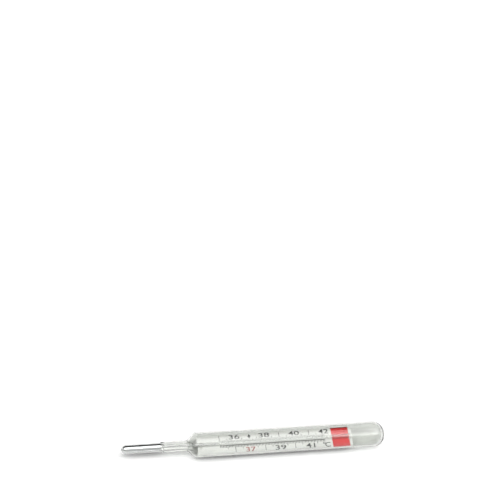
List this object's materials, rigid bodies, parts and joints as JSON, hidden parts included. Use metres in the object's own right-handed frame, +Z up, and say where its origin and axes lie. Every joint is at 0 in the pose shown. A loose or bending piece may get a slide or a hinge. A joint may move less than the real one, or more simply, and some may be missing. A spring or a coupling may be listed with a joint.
{
  "type": "clinical thermometer",
  "caption": "Enclosed-scale clinical thermometer: oval glass tube with a domed end, white scale plate and slim capillary inside, round neck and metal-filled bulb.",
  "frame": {"origin": "on the surface that the thermometer lies on, under the middle of its length", "axes": "+X from the bulb to the domed end, +Y across the plate towards the even numerals, +Z up out of the scale"},
  "size_m": [0.125, 0.0125, 0.0105],
  "materials": {
    "envelope_glass": "clear, flame polished",
    "bulb_glass": "clear, thin, flame polished",
    "capillary_glass": "clear, drawn",
    "liquid_metal": "mirror bright liquid",
    "white_plate": "white enamel with a printed scale, satin",
    "cement": "translucent set cement"
  },
  "bodies": {
    "thermometer": {"glass_envelope": "envelope_glass", "seal_ring": "envelope_glass", "bulb_glass": "bulb_glass", "bulb_liquid": "liquid_metal", "constriction_pin": "capillary_glass", "capillary_stem": "capillary_glass", "capillary_bead": "capillary_glass", "capillary_tube": "capillary_glass", "scale_plate": "white_plate", "lower_cement": "cement", "upper_cement": "cement", "liquid_thread_root": "liquid_metal"},
    "thread_middle": {"liquid_thread_middle": "liquid_metal"},
    "thread_tip": {"liquid_thread_tip": "liquid_metal"}
  },
  "joints": [
    {"name": "thread_rise", "type": "slide", "parent": "thermometer", "child": "thread_tip", "axis": [1, 0, 0], "range_m": [0, 0.0511]},
    {"name": "thread_middle_rise", "type": "slide", "parent": "thermometer", "child": "thread_middle", "axis": [1, 0, 0], "range_m": [0, 0.02555]}
  ],
  "couplings": [
    {"joint": "thread_middle_rise", "follows": "thread_rise", "ratio": 0.5}
  ]
}
